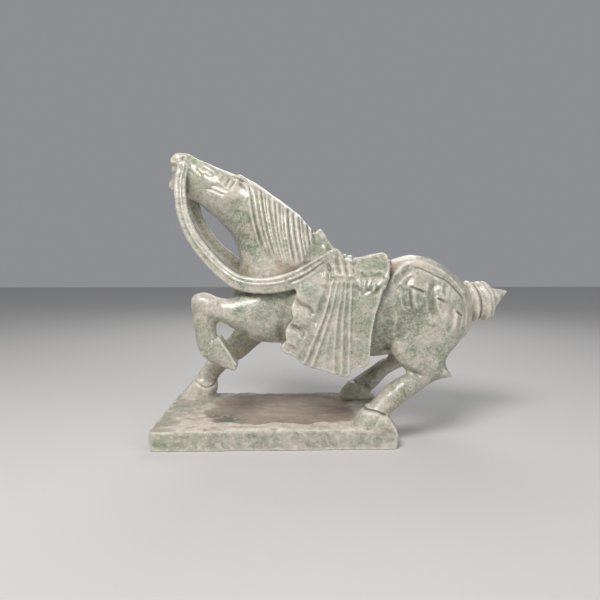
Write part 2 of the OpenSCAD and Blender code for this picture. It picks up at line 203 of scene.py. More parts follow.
def curve(points, per=10):
    """Points along the Catmull-Rom curve that passes through the ones given."""
    p = np.asarray(points, float)
    p = p.reshape(len(p), -1)
    held = np.vstack([2 * p[0] - p[1], p, 2 * p[-1] - p[-2]])
    a, b, c, d = (held[i:len(held) - 3 + i][:, None] for i in range(4))
    t = np.linspace(0, 1, per, endpoint=False)[:, None]
    line = 0.5 * (2 * b + (c - a) * t + (2 * a - 5 * b + 4 * c - d) * t**2 + (3 * b - a - 3 * c + d) * t**3)
    return np.vstack([line.reshape(-1, p.shape[1]), p[-1]])


def beside(line, reach):
    """The window of the side view within reach of a line of (x, z), and there: the distance to it,
    which side of it (-1 or 1), the distance gone along it, and its whole length."""
    low, high = line.min(0) - reach, line.max(0) + reach
    near = (span(xs, low[0], high[0]), span(zs, low[1], high[1]))
    px, pz = xs[near[0]][:, None, None], zs[near[1]][None, :, None]
    a, run = line[:-1], np.diff(line, axis=0)
    length = np.hypot(*run.T)
    gone = np.concatenate([[0], np.cumsum(length)])
    t = np.clip(((px - a[:, 0]) * run[:, 0] + (pz - a[:, 1]) * run[:, 1]) / length**2, 0, 1)
    dx, dz = px - a[:, 0] - t * run[:, 0], pz - a[:, 1] - t * run[:, 1]
    away = dx * dx + dz * dz
    best = away.argmin(2)[:, :, None]

    def pick(values):
        return np.take_along_axis(values, best, 2)[:, :, 0]

    side = np.sign(pick(run[:, 0] * dz - run[:, 1] * dx))
    return near, np.sqrt(pick(away)), side, gone[best[:, :, 0]] + pick(t) * length[best[:, :, 0]], gone[-1]


def canvas():
    """A blank side view: how far the stone stands proud at each (x, z)."""
    return np.zeros((len(xs), len(zs)), np.float32)


def stroke(view, points, wide, proud, ends=(4.0, 4.0), smooth=True):
    """Draws a ridge, or a cut where proud is negative: a bell curve wide mm to each side of a line,
    which fades in and out over its ends."""
    line = curve(points) if smooth else np.asarray(points, float)
    near, away, _, gone, whole = beside(line, 3 * wide)
    fade = ease((gone + 0.3) / max(ends[0], 0.1)) * ease((whole - gone + 0.3) / max(ends[1], 0.1))
    view[near] += proud * np.exp(-((away / wide) ** 2)) * fade


def inside(outline, edge):
    """1 inside an outline of (x, z), 0 outside it, easing across an edge of that width."""
    line = np.asarray(outline + outline[:1], float)
    near, away, _, _, _ = beside(line, edge)
    px, pz = xs[near[0]][:, None, None], zs[near[1]][None, :, None]
    (ax, az), (bx, bz) = line[:-1].T, line[1:].T
    rise = np.where(bz == az, 1e-9, bz - az)
    crosses = ((az > pz) != (bz > pz)) & (px < ax + (pz - az) * (bx - ax) / rise)
    within = crosses.sum(2) % 2 == 1
    view = canvas()
    view[near] = ease(0.5 + np.where(within, away, -away) / edge)
    return view


def cutout(outline):
    """Distances to an outline of (x, z) in the side view, negative inside it."""
    near, away, _, _, _ = beside(np.asarray(outline + outline[:1], float), BAND)
    distances = np.full((len(xs), len(zs)), BAND, np.float32)
    distances[near] = np.where(inside(outline, 0.01)[near] > 0.5, -away, away)
    return distances[:, None, :]


def draped(guides, fine=420):
    """Lays two parameters over the side view: guides are curves from one edge to the other, each with
    the same number of points from top to bottom. Gives maps of the share across, the share down,
    and where the drape lies."""
    g = np.asarray(guides, float)
    across = curve(g.reshape(len(g), -1), fine // (len(g) - 1)).reshape(-1, g.shape[1], 2)
    sheet = curve(across.transpose(1, 0, 2).reshape(g.shape[1], -1), fine // (g.shape[1] - 1))
    sheet = sheet.reshape(len(sheet), -1, 2)
    v, u = np.meshgrid(*(np.linspace(0, 1, n) for n in sheet.shape[:2]), indexing="ij")
    ix = np.rint((sheet[..., 0] - xs[0]) / CELL).astype(int).clip(0, len(xs) - 1)
    iz = np.rint((sheet[..., 1] - zs[0]) / CELL).astype(int).clip(0, len(zs) - 1)
    flat = (ix * len(zs) + iz).ravel()
    count = np.bincount(flat, minlength=len(xs) * len(zs))
    maps = [np.bincount(flat, m.ravel(), len(count)) / np.maximum(count, 1) for m in (u, v)]
    return *(m.reshape(len(xs), -1).astype(np.float32) for m in maps), (count > 0).reshape(len(xs), -1)


def carve(field, view, low=-200.0, high=200.0, soft=6.0):
    """Stands the stone proud by a side view's heights, between two depths, easing in over soft mm."""
    near = span(ys, low - soft, high + soft)
    depth = ys[near]
    weight = ease((depth - low) / soft + 0.5) * ease((high - depth) / soft + 0.5)
    field[:, near] -= view[:, None, :] * weight[None, :, None].astype(np.float32)


def carve_both(field, view, inner, outer=200.0, soft=6.0):
    """Carves a side view alike on both sides, between two depths from the middle."""
    carve(field, view, -outer, -inner, soft)
    carve(field, view, inner, outer, soft)


def turned(middle, radii, turn, reach):
    """The window within reach of a middle, and there the offset from it along each radius as a share
    of that radius, with the first and the third turned by an angle in the side view."""
    near = window(middle - reach, middle + reach)
    dx = (xs[near[0]] - middle[0])[:, None, None]
    dy = (ys[near[1]] - middle[1])[None, :, None]
    dz = (zs[near[2]] - middle[2])[None, None, :]
    c, s = np.cos(np.radians(turn)), np.sin(np.radians(turn))
    return near, (c * dx + s * dz) / radii[0], dy / radii[1], (c * dz - s * dx) / radii[2]


def lump(field, middle, radii, proud, turn=0.0):
    """A rounded swelling, or a hollow where proud is negative: a bell curve in space with three
    radii, turned by an angle in the side view."""
    middle, radii = np.asarray(middle, float), np.asarray(radii, float)
    near, along, out, over = turned(middle, radii, turn, 2.2 * radii.max())
    field[near] -= (proud * np.exp(-(along**2) - out**2 - over**2)).astype(np.float32)


def pebble(field, middle, radii, turn=0.0, fillet=2.0):
    """Leaves an ellipsoid of stone standing, turned by an angle in the side view."""
    middle, radii = np.asarray(middle, float), np.asarray(radii, float)
    near, along, out, over = turned(middle, radii, turn, radii.max() + 8)
    shape = np.sqrt(along**2 + out**2 + over**2)
    field[near] = joined(field[near], ((shape - 1) * radii.min()).astype(np.float32), fillet)


def joined(one, other, fillet):
    """Two solids as one, with their crease filled."""
    share = np.clip(0.5 + 0.5 * (other - one) / fillet, 0, 1)
    return other + (one - other) * share - fillet * share * (1 - share)


def waver(size, seed):
    """Smooth chance heights between -1 and 1 over the block, about one swell for each size mm."""
    chance = np.random.default_rng(seed)
    counts = [int(np.ceil(n * CELL / size)) + 3 for n in block]
    field = chance.uniform(-1, 1, counts).astype(np.float32)
    for axis in range(3):
        place = np.arange(block[axis]) * CELL / size
        start = place.astype(int)
        t = ease(place - start).astype(np.float32).reshape([-1 if a == axis else 1 for a in range(3)])
        field = np.take(field, start, axis) * (1 - t) + np.take(field, start + 1, axis) * t
    return field


trunk_nodes = ["torso", "neck", "head", "lower_jaw", "mane", "near_forearm", "far_forearm",
               "near_hind_thigh", "far_hind_thigh", "near_fore_cannon", "far_fore_cannon",
               "near_hind_cannon", "far_hind_cannon"]
hoof_nodes = ["near_fore_hoof", "far_fore_hoof", "near_hind_hoof", "far_hind_hoof"]
horse = rubbed(filled(together(trunk_nodes + hoof_nodes), 3.0), 1.8)
softer = rubbed(horse, 3.0)
# The trunk is rubbed down more than the head and the lower legs, which keep their planes.
full_trunk = ease((xs + 78) / 30)[:, None, None] * ease((zs - 100) / 25)[None, None, :]
horse += (softer - horse) * full_trunk.astype(np.float32)
del softer, full_trunk


# ---- The trunk and legs ----
# Broad swellings for the muscles, with the hind cannons left thick. The stone is rubbed smooth
# here, so only low waves from the rubbing stones show.


def middle_depth(node):
    """How deep the middle of a carved region lies, in mm."""
    return (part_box(node)[0].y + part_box(node)[1].y) * 500


for side in (-1, 1):
    lump(horse, (188, side * 46, 150), (26, 16, 30), 2.5)
    lump(horse, (165, side * 44, 118), (14, 12, 18), 1.5)
    lump(horse, (10, side * 44, 150), (20, 12, 24), 1.5)
    lump(horse, (148, side * 44, 150), (9, 12, 34), -2.5)
    lump(horse, (160, side * 52, 84), (12, 14, 7), -1.8, turn=-20)
    lump(horse, (214, side * 44, 140), (14, 16, 16), 1.5)
lump(horse, (176, 0, 217), (34, 30, 14), 3.4)
lump(horse, (22, 0, 281), (26, 12, 12), 1.8, turn=-38)
lump(horse, (-46, 0, 165), (10, 5, 22), -2.0)
lump(horse, (-30, -37, 150), (30, 20, 9), 1.5, turn=-8)
lump(horse, (-88, -37, 166), (12, 14, 10), 1.5)
lump(horse, (-50, -42, 158), (26, 12, 4), -1.2, turn=-12)
lump(horse, (-62, -40, 172), (22, 12, 5), 1.2, turn=-6)
pebble(horse, (140, middle_depth("near_hind_cannon"), 59.5), (30, 12, 11), turn=43, fillet=7)
pebble(horse, (138.5, middle_depth("far_hind_cannon"), 49.5), (22, 11, 9.5), turn=50, fillet=7)
horse += 0.45 * waver(14, 31)

flank = canvas()
stroke(flank, [(137, 170), (135, 150), (134, 128), (137, 106)], 5.0, -2.6, ends=(12, 4))
stroke(flank, [(147, 160), (144.5, 140), (145, 122), (150, 104)], 4.0, 1.4, ends=(12, 6))
stroke(flank, [(152, 96), (164, 88), (176, 84)], 3.0, -1.4, ends=(4, 8))
carve_both(horse, flank, 20)

shoulder = canvas()
stroke(shoulder, [(-17, 162.5), (-9, 160.5), (-2, 161)], 0.9, -1.0, ends=(1, 1))
stroke(shoulder, [(-18, 158), (-22, 148), (-23, 138)], 1.0, -0.7)
stroke(shoulder, [(-12, 158), (-16, 148), (-17, 140)], 1.0, -0.8)
stroke(shoulder, [(-3, 157), (-8, 148), (-11, 141)], 1.0, -0.7)
stroke(shoulder, [(16, 182), (14, 165), (9, 145), (5, 125)], 5.0, -1.6)
carve(horse, shoulder, high=-28)


# ---- The head ----
# The head is thrown back with the teeth on the bit. Eyes, nostrils, lips and the lines of the bridle
# are cut in from each side, alike on both.

face = canvas()
stroke(face, [(-101, 331), (-96, 326.5), (-92, 321.5)], 1.0, 0.8)
stroke(face, [(-98, 332), (-92, 326.5), (-87, 320.5)], 1.0, -0.9)
stroke(face, [(-95, 333), (-89, 327), (-86, 322)], 1.0, 0.7)
stroke(face, [(-105, 330), (-100, 325), (-97, 320)], 1.2, -0.6)
stroke(face, [(-91, 338), (-85, 334.5), (-79, 331), (-72, 326)], 1.3, 0.8)
stroke(face, [(-88, 332), (-82, 330.5), (-76, 326.5), (-72, 321)], 1.0, -1.0)
stroke(face, [(-86, 325), (-82, 321), (-76, 319), (-71, 320)], 1.0, -0.8)
stroke(face, [(-97, 341), (-86, 340), (-76, 335)], 2.6, 0.8)
stroke(face, [(-83, 306.5), (-72, 302.5), (-60, 297.5)], 1.0, -1.5, ends=(3, 3))
stroke(face, [(-80, 304), (-71, 300), (-60, 294.5)], 1.1, 0.7)
stroke(face, [(-76, 310), (-66, 306.5), (-57, 302)], 1.0, -1.4, ends=(3, 3))
stroke(face, [(-71, 312), (-66, 309), (-60, 306)], 0.9, -0.9, ends=(2, 2))
stroke(face, [(-60, 306.5), (-57.5, 312), (-54, 320.5)], 1.0, -1.8, ends=(2, 3))
stroke(face, [(-57, 304), (-54.5, 310), (-51, 318.5)], 1.1, 0.9, ends=(2, 3))
stroke(face, [(-54, 303.5), (-51.5, 309.5), (-48, 317)], 1.0, -1.6, ends=(2, 3))
stroke(face, [(-66, 314), (-63, 319), (-60, 324)], 1.0, -0.8)
stroke(face, [(-45, 318), (-41, 311), (-36, 307), (-32, 301), (-31, 294)], 1.2, -1.5, ends=(2, 3))
stroke(face, [(-127, 340), (-118, 337.5), (-110, 334), (-105, 330)], 1.3, 1.0, ends=(0.5, 4))
stroke(face, [(-127, 336.5), (-119, 333.5), (-111, 330.5)], 1.1, -1.2, ends=(0.5, 4))
stroke(face, [(-114, 347.5), (-109, 346.5), (-108, 342), (-112, 339.5)], 1.1, 0.7, ends=(2, 2))
for side in (-1, 1):
    lump(horse, (-81, side * 22, 325.5), (4.5, 8, 2.4), 0.9, turn=-30)
    lump(horse, (-50, side * 25, 300), (17, 10, 15), 1.8)
    lump(horse, (-73, side * 24, 307), (8, 8, 6), -0.8)
    lump(horse, (-112.5, side * 13, 343), (2.8, 6, 1.8), -1.8, turn=30)
    for middle, radii in (((-121.5, 7, 331), (6, 6, 5)), ((-121, 6, 321), (6, 6, 8)),
                          ((-125, 5, 310), (5, 5, 5.5))):
        pebble(horse, (middle[0], side * middle[1], middle[2]), radii, fillet=5)
pebble(horse, (-118, 0, 345), (9.5, 13, 7), turn=-12, fillet=4)
lump(horse, (-137, 0, 340), (6, 16, 9), -3.2)
carve_both(horse, face, 7, 60, soft=5)


# ---- The ears ----
# Two small leaves laid back along the crest, each with a curled hollow on its outer face.

ears = np.full(block, BAND, np.float32)
for side in (-1, 1):
    near = window((-75, -40, 290), (-10, 40, 345))
    x = xs[near[0]][:, None, None]
    y = ys[near[1]][None, :, None] * side
    z = zs[near[2]][None, None, :]
    c, s = np.cos(np.radians(-24)), np.sin(np.radians(-24))
    along = c * (x + 40) + s * (z - 316.5)
    over = c * (z - 316.5) - s * (x + 40)
    taper = 1 - 0.045 * np.clip(along, -4, 20)
    leaf = np.sqrt((along / 12) ** 2 + (over / (5.8 * taper)) ** 2 + ((y - 14) / (7.0 * taper)) ** 2)
    leaf = (leaf - 1) * 6.0
    curl = np.exp(-((over + 0.8) / 1.5) ** 2 - ((along - 1) / 8) ** 2) * ease((y - 12) / 4)
    ears[near] = np.minimum(ears[near], (leaf + 3.0 * curl).astype(np.float32))


# ---- The mane ----
# Combed locks that fall from the crest down both sides of the neck, each rounded like a cord and
# parted from the next by a cut, ending in points along the neck.

LOCKS = 15
u, v, there = draped([
    [(-37, 314), (-32, 297), (-30, 277), (-25, 256), (-20, 236)],
    [(-13, 306), (-10, 280), (-6, 258), (-1, 237), (7, 212)],
    [(8, 290), (9.5, 270), (11, 250), (14, 232), (19, 208)],
    [(30, 274), (31, 260), (33, 244), (35.5, 228), (38, 212)],
    [(54, 252), (54, 244), (55, 236), (56, 228), (57, 220)],
])
spread = u + 0.013 * np.sin(23 * u + 1) + 0.007 * np.sin(49 * u)
lock = np.abs(np.sin(np.pi * spread * LOCKS))
stout = 1 + 0.30 * np.sin(37 * u) + 0.25 * np.sin(91 * u)
tips = 0.88 + 0.12 * lock
mane = there * (3.5 * stout * (lock ** 0.7 - 0.66) * ease(v / 0.10) + 0.5) * ease((tips - v) / 0.10)
pommel_strap = np.interp(zs, [214, 251], [35, 50])
mane = mane * ease((pommel_strap[None, :] - xs[:, None]) / 3)
carve(horse, mane.astype(np.float32))
crest = canvas()
stroke(crest, [(-14, 240), (-28, 212)], 0.8, -0.8, ends=(1, 3), smooth=False)
stroke(crest, [(-14, 240), (-10, 226)], 0.8, -0.7, ends=(1, 3), smooth=False)
carve(horse, crest, high=-20)


# ---- The tack on the hindquarters ----
# A crupper strap runs back over the rump and the folds of a net hang from it, each gathered at a
# short straight cut, with a breeching ridge round the buttock. All of it is low relief.

strap = canvas()
stroke(strap, [(150, 203), (158, 212.5), (170, 217), (184, 216.5), (197, 211), (210, 203), (222, 192),
               (233, 178)], 1.8, 1.3)
stroke(strap, [(154, 199), (163, 208.5), (176, 212.5), (190, 209.5), (204, 203)], 1.8, -0.7)
stroke(strap, [(168, 209.5), (176, 210), (185, 206), (195, 200.5), (207, 195), (213, 190), (220, 183.5),
               (230, 172)], 0.9, -2.3, ends=(5, 3))
stroke(strap, [(172, 206), (184, 202.5), (195, 197), (206, 192), (218, 181), (227, 171)], 2.4, 0.9)
stroke(strap, [(140, 192), (144, 200), (149, 206), (157, 212), (169, 216)], 1.5, 1.6)
stroke(strap, [(144, 190), (150, 199), (157, 205), (166, 209)], 3.0, -1.2)
stroke(strap, [(149, 189), (156, 197), (164, 203), (170, 206)], 1.8, 0.9)
stroke(strap, [(156, 188), (163, 196), (171, 201)], 3.0, -1.1)
stroke(strap, [(231, 178), (234, 166), (236, 150), (232, 134)], 2.0, 1.0, ends=(4, 12))
stroke(strap, [(228, 175), (231, 164), (232, 150), (229, 138)], 1.8, -0.5, ends=(4, 10))
# The first fold, in front: a flap gathered at a cut, with a deep crease before it and two lobes under it.
strap += 1.8 * inside([(163, 205), (182, 201), (185, 188), (178, 177), (176, 165), (170, 160), (164, 165),
                       (162, 186)], 9)
stroke(strap, [(163, 187.5), (178.5, 181)], 0.85, -4.0, ends=(1.5, 1.5), smooth=False)
stroke(strap, [(163, 190), (161.5, 180), (162, 170), (164, 160)], 1.5, -2.0, ends=(4, 6))
stroke(strap, [(166, 184), (165.5, 174), (168, 164), (172, 162), (176, 170), (178, 180)], 1.5, 0.9, ends=(5, 5))
stroke(strap, [(171, 181), (170.5, 173), (171, 166)], 1.6, -1.0)
stroke(strap, [(149, 185), (150.5, 172), (153, 162), (158, 157)], 2.0, 1.3)
stroke(strap, [(155, 186), (155, 172), (158, 162)], 3.0, -1.3)
# The valley behind it, the second fold and its cut.
stroke(strap, [(193, 196), (190, 184), (188, 171), (189, 156), (194, 146)], 5.0, -2.4, ends=(10, 12))
stroke(strap, [(184, 198), (182, 184), (181.5, 170), (183, 152)], 2.8, 1.2, ends=(8, 10))
strap += 1.5 * inside([(194, 201), (207, 197), (210, 182), (206, 168), (201, 156), (196, 156), (193, 168),
                       (193, 184)], 8)
stroke(strap, [(194.5, 174), (203.5, 169)], 0.85, -3.6, ends=(1, 1.5), smooth=False)
stroke(strap, [(203, 195), (199.5, 186), (199, 176)], 1.6, 1.1, ends=(5, 3))
stroke(strap, [(208, 193), (204.5, 184), (204, 175)], 2.0, -1.0, ends=(5, 4))
stroke(strap, [(194, 177), (193, 168), (196, 158)], 1.6, 1.1, ends=(3, 5))
stroke(strap, [(199.5, 169), (199.5, 162), (202, 153)], 1.8, -1.1, ends=(2, 5))
# The last fold, a broad flap over the buttock with its own cut and valley.
strap += 1.4 * inside([(209, 190), (222, 180), (230, 169), (229, 156), (218, 149), (212, 157), (208, 172)], 9)
stroke(strap, [(215, 169), (212, 154), (209.5, 141), (204, 128)], 4.0, -2.1, ends=(10, 10))
stroke(strap, [(218.5, 158), (227, 151.5)], 0.85, -3.6, ends=(1, 1), smooth=False)
stroke(strap, [(219.5, 157), (217, 147), (214.5, 134)], 2.0, 1.2, ends=(3, 8))
stroke(strap, [(224.5, 151), (223, 142), (219, 130)], 2.2, -0.9, ends=(3, 8))
carve_both(horse, strap, 12, soft=10)


# ---- The tail ----
# The tail is tied up in a knot: two fat twisted turns that lean back, and a pointed end.

tail = rubbed(filled(together(["tail_knot"]), 1.5), 1.3)
near = window((225, -40, 120), (305, 40, 215))
x, y, z = xs[near[0]][:, None, None], ys[near[1]][None, :, None], zs[near[2]][None, None, :]
lean = 0.0062 * (z - 168) ** 2 + 0.20 * (z - 168)
turn_cuts = {252.0: (1.5, 0.8), 261.0: (1.5, 3.2), 265.5: (0.9, 0.9), 274.5: (1.5, 2.0)}
for place, (wide, deep) in turn_cuts.items():
    tail[near] += (deep * np.exp(-(((x + lean - place - 0.05 * y) / wide) ** 2))).astype(np.float32)
tail = joined(tail, rubbed(together(["tail_tip"]), 0.9), 1.5)


# ---- The hooves ----
# The raised hoof is folded back as a sharp wedge. The standing ones spread into the plinth, with a
# web of stone left behind the near hind heel.

hooves = rubbed(filled(together(hoof_nodes), 1.0), 0.9)
folds = canvas()
stroke(folds, [(-82, 105), (-71, 101), (-60, 97), (-50, 93.5)], 0.9, -0.8, ends=(1, 1))
stroke(folds, [(-90, 111), (-84, 112), (-79, 108)], 1.5, -1.0)
stroke(folds, [(-61, 126), (-55, 113), (-48, 97)], 1.1, 1.0, ends=(1, 1))
carve(hooves, folds, high=-20)
carve(horse, folds, high=-20)
wedge = [(-66, 128), (-59.5, 118.5), (-52.5, 107.5), (-44.2, 93), (-58, 97), (-77, 103.5), (-78, 112),
         (-74, 122)]
WEDGE_HALF = 11.5
beside_wedge = np.abs(ys[None, :, None] - middle_depth("near_fore_hoof")) - WEDGE_HALF
flat = np.maximum(cutout(wedge), beside_wedge).astype(np.float32)
hooves = joined(hooves, flat, 3.0)
heel_web = inside([(112, 20), (124, 40), (132.5, 38.5), (137, 31), (141.5, 23), (144, 14)], 2.0)
near = span(ys, -75, -44)
web = np.broadcast_to((4.0 - 8.0 * heel_web)[:, None, :], hooves[:, near].shape)
hooves[:, near] = joined(hooves[:, near], web, 2.5)


# ---- The saddle ----
# A peaked pommel, a dished seat and a low cantle, carved as one drape with the cloth that hangs
# below it.

saddle = rubbed(filled(together(["pommel", "saddle"]), 1.5), 1.3)
arch = np.interp(zs, [150, 191, 198, 205, 212, 219, 226, 234, 260], [61, 55.5, 53.5, 50, 45, 38, 30, 20, 12])
ARCH_SLOPE = 0.8
beyond_arch = (np.abs(ys)[None, :, None] - arch[None, None, :]) * ARCH_SLOPE
saddle = np.maximum(saddle, beyond_arch).astype(np.float32)
peak = rubbed(together(["pommel"]), 0.9) - (1.6 * ease((zs - 240) / 10)).astype(np.float32)
saddle = joined(saddle, np.maximum(peak, beyond_arch), 2.0)
cantle_outline = [(96, 206), (99, 221), (108, 222), (117, 224.5), (125, 227.5), (135, 229), (138, 222),
                  (138, 206)]
cantle = np.maximum(cutout(cantle_outline), beyond_arch)
saddle = joined(saddle, cantle.astype(np.float32), 2.0)
del peak, cantle


# ---- The saddle cloth ----
# A heavy cloth carved as if hanging: pleats fan out from a tie under a row of knots, the front edge
# falls in three scalloped lobes, the back is a plain panel with a raised border, and the hem steps.

CLOTH_THICK = 7.0
pleats = [
    [(69, 197), (64, 176), (58, 155), (50, 135), (41, 113), (34, 97)],
    [(75, 197), (70.5, 178), (66, 160), (59, 138), (50, 113), (43, 93)],
    [(80, 197), (78, 175), (73, 150), (70, 120), (69, 84)],
    [(85, 197), (82.5, 175), (80, 150), (79, 120), (78, 82)],
    [(91, 197), (89.5, 170), (88, 150), (87.5, 115), (87, 80)],
]
cloth_folds = canvas()
for pleat, proud in zip(pleats, (3.0, 2.0, 1.9, 2.5, 2.1)):
    stroke(cloth_folds, pleat, 1.5, proud, ends=(6, 0.1))
    valley = [(x + 3.6 * (k + 2) / 4, z) for k, (x, z) in enumerate(pleat)]
    stroke(cloth_folds, valley, 1.5, -1.4, ends=(10, 0.1))
stroke(cloth_folds, [(75, 196), (74, 175), (69, 150), (62, 120), (57, 90)], 1.1, 0.9, ends=(8, 0.1))
stroke(cloth_folds, [(64, 192), (58.5, 172), (51, 154), (45, 142)], 4.0, -3.0, ends=(8, 6))
stroke(cloth_folds, [(46, 138), (36, 116), (28, 102)], 2.0, -1.2, ends=(8, 0.1))
stroke(cloth_folds, [(97, 190), (97, 150), (99, 110), (99, 92)], 5.0, -1.8)
stroke(cloth_folds, [(128, 194), (124, 180), (121, 159), (115, 135), (112, 111), (111, 97)], 1.5, 2.2,
       ends=(3, 0.1))
stroke(cloth_folds, [(116, 176), (112, 150), (106, 125)], 5.0, -1.3)
stroke(cloth_folds, [(23, 184), (24.5, 174), (32, 166.5), (41, 163), (45, 154)], 2.4, -3.6)
stroke(cloth_folds, [(15, 145), (24, 141), (32, 136), (36, 128)], 2.2, -3.0)
stroke(cloth_folds, [(10, 122), (20, 119), (27, 113)], 1.8, -1.8)
cloth_folds += 3.0 * inside([(22, 165), (31, 161), (38, 154), (38, 144), (28, 143), (19, 150)], 9.0)
cloth_folds += 2.8 * inside([(13, 139), (24, 137), (30, 128), (26, 117), (14, 119)], 8.0)
cloth_folds += 3.2 * inside([(27, 196), (46, 192), (56, 180), (50, 164), (36, 169), (26, 178)], 13.0)
cloth_outline = [
    (24, 190), (26, 180), (20, 163), (22, 151), (13, 138), (14, 125), (7, 118), (10, 112),
    (24, 106), (33, 98), (44, 93), (62, 88), (84, 80.5), (88, 83), (91, 91.5), (108, 93.5), (111.5, 98),
    (114, 130), (119, 155), (126, 177), (130, 193), (98, 203), (65, 206), (40, 203)]
rim = cutout(cloth_outline)
hang = np.interp(zs, [75, 125, 155, 175, 191, 200, 206, 212], [62.5, 62, 60.5, 58.5, 54.5, 51.5, 48.5, 44])
cloths = np.full(block, BAND, np.float32)
for side in (-1, 1):
    half = span(ys, -80, -20) if side < 0 else span(ys, 20, 80)
    out = ys[half][None, :, None] * side - hang[None, None, :] - cloth_folds[:, None, :] + CLOTH_THICK / 2
    sheet = np.maximum(rim, 0.85 * (np.abs(out) - CLOTH_THICK / 2))
    cloths[:, half] = np.minimum(cloths[:, half], sheet)
cloths = rubbed(cloths.astype(np.float32), 0.7)

drape = joined(saddle, cloths, 5.0)
seat = canvas()
for low, high, proud in (((74, 199), (70, 226), 1.2), ((78.5, 199), (75, 227), -1.0),
                         ((82, 199), (80, 226), 1.3), ((86, 199), (85.5, 225), -1.0),
                         ((90, 199), (90, 224), 1.1), ((94.5, 200), (96, 222), -1.1)):
    stroke(seat, [low, ((low[0] + high[0]) / 2 - 0.8, 212), high], 1.7, proud, ends=(5, 5))
stroke(seat, [(66, 203), (80, 201.5), (97, 200.5)], 2.8, 1.7, ends=(2, 3))
for x in np.linspace(70, 95, 7):
    stroke(seat, [(x - 0.8, 205), (x, 196)], 0.9, -0.7, ends=(2, 2), smooth=False)
stroke(seat, [(63, 217), (66, 209), (68, 199)], 1.8, -1.5)
stroke(seat, [(62, 212), (60, 204), (61, 196)], 1.6, 1.2)
seat += 1.3 * inside([(101, 224), (130, 227), (131, 203), (101, 205)], 5.0)
stroke(seat, [(102, 217), (113, 218), (124, 221), (132, 223)], 1.3, -0.7, ends=(3, 1))
stroke(seat, [(137, 228), (136, 212), (133, 200), (128, 190)], 1.6, 1.4)
stroke(seat, [(141.5, 228), (140.5, 212), (137.5, 198)], 2.2, -2.4)
stroke(seat, [(101, 201), (113, 200), (128, 203)], 1.6, -1.0)
for x, lean, foot, proud in ((100.5, -1, 184, 1.6), (105.5, 2, 181, 2.1), (111, 4, 184, 1.5),
                             (117, 6, 180, 1.8), (123, 7, 186, 2.0)):
    stroke(seat, [(x + lean, 197), (x, 190), (x - 1, foot)], 1.6, proud, ends=(2, 4))
stroke(seat, [(128, 200), (121, 190), (113, 181), (104, 176)], 1.8, 1.5, ends=(3, 6))
stroke(seat, [(131, 190), (124, 180), (118, 166)], 2.2, 1.2, ends=(3, 8))
stroke(seat, [(49.5, 251), (44, 236), (39, 224), (34, 214)], 1.3, -2.4)
stroke(seat, [(54, 250), (52.5, 236), (54, 222)], 2.2, 1.2)
stroke(seat, [(60, 240), (64, 232), (70, 226)], 1.8, 1.0)
for side, (low, high) in {-1: (-75, -6), 1: (6, 75)}.items():
    carve(drape, seat, low, high)
    for x, z in ((73.5, 228), (80, 224.5), (87, 223.5), (94, 222)):
        pebble(drape, (x, side * 14, z), (3.8, 12, 4.2))
        pebble(drape, (x - 1, side * 30, z - 6), (3.2, 8, 4.0))


# ---- The reins ----
# Two bars of stone left standing free between the mouth and the chest. Each is a flat band with a
# raised line along it, which flows into the chest and fans out over the saddle to the knots.

reins = np.full(block, BAND, np.float32)
rein_routes = {
    "near": (-1, [
        (-112, -13, 333), (-115, -16, 316), (-114.5, -20, 296), (-110, -24, 272), (-99, -29, 247),
        (-85, -33, 228), (-69, -37, 211), (-54, -41, 199), (-40, -45, 192), (-20, -50, 189),
        (0, -52.5, 190), (18, -52, 194), (34, -49, 201), (50, -43, 211), (64, -35, 220), (74, -29, 226)]),
    "far": (1, [
        (-106, 9, 313), (-105.5, 15, 290), (-99, 20, 269), (-89, 25, 250), (-76, 30, 234),
        (-62, 35, 222), (-48, 41, 210), (-34, 46, 200), (-16, 50, 192), (2, 53, 190),
        (18, 52, 194), (34, 49, 201), (50, 43, 211), (64, 35, 220), (74, 29, 226)]),
}
REIN_THICK = 10.0
REIN_ROUND = 3.4
for side, route in rein_routes.values():
    line = curve(route)
    gone = np.concatenate([[0], np.cumsum(np.hypot(*np.diff(line[:, [0, 2]], axis=0).T))])
    near, away, hand, along, whole = beside(line[:, [0, 2]], 18)
    depth = np.interp(along, gone, line[:, 1])
    place = np.interp(along, gone, line[:, 0])
    half = np.interp(place, [-106, -60, -30, 0, 25, 75], [7.6, 8.4, 9.4, 10.0, 10.5, 9.0])[:, None, :]
    deep = span(ys, -68, 8) if side < 0 else span(ys, -8, 68)
    out = (ys[deep][None, :, None] - depth[:, None, :]) * side
    offset = (away * hand)[:, None, :]
    across = np.maximum(away[:, None, :] - half + REIN_ROUND, 0)
    through = np.maximum(np.abs(out) - REIN_THICK / 2 + REIN_ROUND, 0)
    bar = np.hypot(across, through) - REIN_ROUND
    ridges = (1.1 * np.exp(-(((offset - 1.6) / 1.3) ** 2)) + 0.35 * np.exp(-(((offset - 5.6) / 1.4) ** 2))
              - 0.55 * np.exp(-(((offset - 3.8) / 1.2) ** 2)) - 0.3 * np.exp(-(((offset + 1.4) / 1.4) ** 2))
              - 0.8 * np.clip(-offset / half - 0.3, 0, 1))
    bar -= ridges * ease((out + 1) / 3) * ease((44 - place) / 40)[:, None, :]
    bar += (1.6 * ease((place - 10) / 60))[:, None, :]
    reins[near[0], deep, near[1]] = np.minimum(reins[near[0], deep, near[1]], bar.astype(np.float32))
fan = canvas()
for ridge in ([(18, 190), (30, 195), (41, 200.5), (51, 208), (61, 215), (70, 222)],
              [(14, 195), (28, 200), (40, 206.5), (50, 213), (60, 219), (70, 225)],
              [(24, 204), (36, 211), (48, 218), (60, 225), (70, 229)]):
    stroke(fan, ridge, 1.3, 1.5, ends=(8, 5))
for groove in ([(24, 197), (36, 201), (47, 208), (58, 215), (68, 222)],
               [(22, 202), (36, 208), (48, 215.5), (60, 222)]):
    stroke(fan, groove, 1.1, -1.0, ends=(8, 5))


